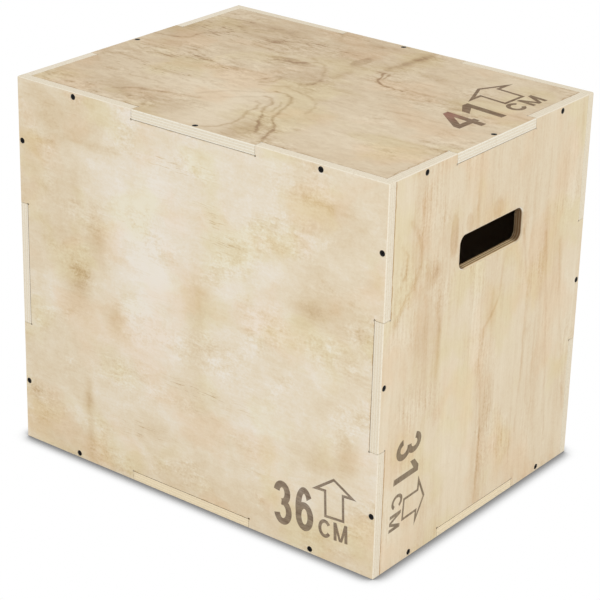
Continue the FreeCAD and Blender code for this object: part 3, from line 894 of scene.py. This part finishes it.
def drawFour(shape, x, y, stroke, look):
    stem, low = look["stem"] * x, look["bar"] * y
    high = low + look["barStroke"] * stroke
    slantFoot, slantTop = look["slantFoot"] * stroke - x, y - look["slantTop"] * stroke
    return [bar(shape, [(stem, -y), (stem + stroke, -y), (stem + stroke, y), (stem, y)]),
            bar(shape, [(-x, low), (x, low), (x, high), (-x, high)]),
            bar(shape, [(-x, high), (slantFoot, high), (stem, slantTop), (stem, y)])]


def drawM(shape, x, y, stroke, look):
    inner, valley, foot = x - stroke, look["valley"] * stroke - y, look["valleyFoot"] * stroke
    stems = [bar(shape, [(side * x, -y), (side * inner, -y), (side * inner, y), (side * x, y)])
             for side in (-1, 1)]
    slants = [bar(shape, [(side * x, y), (side * inner, y), (0, valley), (0, -y), (side * foot, -y)])
              for side in (-1, 1)]
    return stems + slants


glyphDrawers = {"3": drawThree, "6": drawSix, "C": drawC, "1": drawOne, "4": drawFour, "M": drawM}


def glyphShape(letter, size, stroke):
    shape = bmesh.new()
    strokes = glyphDrawers[letter](shape, size[0] / 2, size[1] / 2, stroke, glyphLook[letter])
    for layer, faces in enumerate(strokes):  # crossing strokes lie a hair apart
        verts = {vert for face in faces for vert in face.verts}
        bmesh.ops.translate(shape, vec=(0, 0, layer * markLook["layer"]), verts=list(verts))
    return shape


def arrowShape(arrow):  # an outlined arrow with its tip at the origin, pointing up
    half, shaft, head, foot = arrow["span"] / 2, arrow["shaft"] / 2, -arrow["head"], -arrow["length"]
    outline = [(0, 0), (-half, head), (-shaft, head), (-shaft, foot),
               (shaft, foot), (shaft, head), (half, head)]
    shape = bmesh.new()
    inner = bar(shape, outline)
    shape.normal_update()
    bmesh.ops.inset_individual(shape, faces=inner, thickness=arrow["line"] * mm, use_even_offset=True)
    bmesh.ops.delete(shape, geom=inner, context="FACES")
    return shape


def joinInto(whole, shape):
    carrier = bpy.data.meshes.new("markPart")
    shape.to_mesh(carrier)
    shape.free()
    whole.from_mesh(carrier)
    bpy.data.meshes.remove(carrier)


def addMark(node, mark):
    look = panelLooks[node]
    along, across, through = axisNumbers(look)
    normal = mark["right"].cross(mark["up"])
    sideways, upwards = mark["right"] + mark["slope"] * mark["up"], mark["up"] + mark["lean"] * mark["right"]
    facing = Matrix((sideways, upwards, normal)).transposed().to_4x4()
    surface = (boxHigh if look["outward"] > 0 else boxLow)[through]
    parts = [(glyphShape(letter, size, stroke), spot) for letter, spot, size, stroke in mark["glyphs"]]
    parts.append((arrowShape(mark["arrow"]), mark["arrow"]["tip"]))
    joined = bmesh.new()
    for shape, spot in parts:
        centre = boxLow.copy()
        centre[along] += spot[0] * mm
        centre[across] += spot[1] * mm
        centre[through] = surface + look["outward"] * markLook["proud"]
        bmesh.ops.transform(shape, matrix=Matrix.Translation(centre) @ facing, verts=shape.verts)
        joinInto(joined, shape)
    for face in joined.faces:
        face.normal_update()
        if face.normal.dot(normal) < 0:
            face.normal_flip()
    bmesh.ops.solidify(joined, geom=joined.faces[:], thickness=markLook["thickness"])
    finished(f"mark_{node}", joined, inkMaterial(node, mark))


for node, mark in marks.items():
    addMark(node, mark)
    print("mark on", node)


# camera, on the photograph's view of the box; the picture is 600 by 600
# turn, rise and roll are degrees, aim and far metres, lens and sensor millimetres

cameraLook = {
    "turn": 37.46, "rise": 23.75, "roll": 1.5, "far": 2.0, "aim": (0.0004, 0.0, 0.150),
    "lens": 129.16, "sensor": 36.0, "clipEnd": 50.0,
}


def addCamera():
    look = cameraLook
    turn, rise, roll = (math.radians(look[name]) for name in ("turn", "rise", "roll"))
    forward = Vector((-math.sin(turn) * math.cos(rise), math.cos(turn) * math.cos(rise), -math.sin(rise)))
    side = Vector((math.cos(turn), math.sin(turn), 0.0))
    facing = Matrix((side, side.cross(forward), -forward)).transposed()
    data = bpy.data.cameras.new("photoCamera")
    data.sensor_width = look["sensor"]
    data.lens = look["lens"]
    data.clip_end = look["clipEnd"]
    camera = bpy.data.objects.new("photoCamera", data)
    scene.collection.objects.link(camera)
    spot = Vector(look["aim"]) - look["far"] * forward
    camera.matrix_world = Matrix.Translation(spot) @ (facing @ Matrix.Rotation(roll, 3, "Z")).to_4x4()
    scene.camera = camera


addCamera()
print("camera set")


# floor, white for the camera, with the box's shadow close round it

floorLook = {
    "size": 12.0, "colour": (0.9, 0.9, 0.9, 1.0), "rough": 0.8,
    "shade": paint(130, 129, 128), "shadowReach": 17 * mm, "shadowEdge": (0.45, 0.98), "shadowSamples": 16,
}


def seenRays(tree):  # rays that see the white background: the camera's, off gloss and through glass
    rays = put(tree, "ShaderNodeLightPath").outputs
    direct = calc(tree, "MAXIMUM", rays["Is Camera Ray"], rays["Is Glossy Ray"])
    return calc(tree, "MAXIMUM", direct, rays["Is Transmission Ray"])


def addFloor():
    look = floorLook
    shape = bmesh.new()
    bmesh.ops.create_grid(shape, x_segments=1, y_segments=1, size=look["size"] / 2)
    mesh = bpy.data.meshes.new("floor")
    shape.to_mesh(mesh)
    shape.free()
    floor = bpy.data.objects.new("floor", mesh)
    scene.collection.objects.link(floor)
    material, tree, shader = newMaterial("paleFloor")
    fill(tree, shader, {"Base Color": look["colour"], "Roughness": look["rough"]})
    clear = put(tree, "ShaderNodeAmbientOcclusion", {"Distance": look["shadowReach"]},
                samples=look["shadowSamples"]).outputs["AO"]
    seen = tint(tree, fade(tree, clear, *look["shadowEdge"]), look["shade"], white)
    glow = put(tree, "ShaderNodeEmission", {"Color": seen, "Strength": 1.0})
    shaders = {0: seenRays(tree), 1: shader.outputs[0], 2: glow.outputs[0]}
    mixed = put(tree, "ShaderNodeMixShader", shaders)
    tree.links.new(mixed.outputs[0], tree.nodes["Material Output"].inputs["Surface"])
    mesh.materials.append(material)


addFloor()
print("floor laid")


# light: an even white surround and one large soft lamp in front

lampLook = {"spot": (1.7, -1.5, 1.7), "size": 1.8, "power": 15.0, "surround": 0.90}


def addSurround():
    world = bpy.data.worlds.new("studio")
    scene.world = world
    world.use_nodes = True
    tree = world.node_tree
    surround = fill(tree, tree.nodes["Background"], {"Color": white, "Strength": lampLook["surround"]})
    backdrop = put(tree, "ShaderNodeBackground", {"Color": white, "Strength": 1.0})
    shaders = {0: seenRays(tree), 1: surround.outputs[0], 2: backdrop.outputs[0]}
    mixed = put(tree, "ShaderNodeMixShader", shaders)
    tree.links.new(mixed.outputs[0], tree.nodes["World Output"].inputs["Surface"])


def addLamp():
    data = bpy.data.lights.new("softLamp", "AREA")
    data.shape = "DISK"
    data.size = lampLook["size"]
    data.energy = lampLook["power"]
    lamp = bpy.data.objects.new("softLamp", data)
    scene.collection.objects.link(lamp)
    spot = Vector(lampLook["spot"])
    towards = (boxLow + boxHigh) / 2 - spot
    lamp.matrix_world = Matrix.Translation(spot) @ towards.to_track_quat("-Z", "Y").to_matrix().to_4x4()


addSurround()
addLamp()
print("light set")
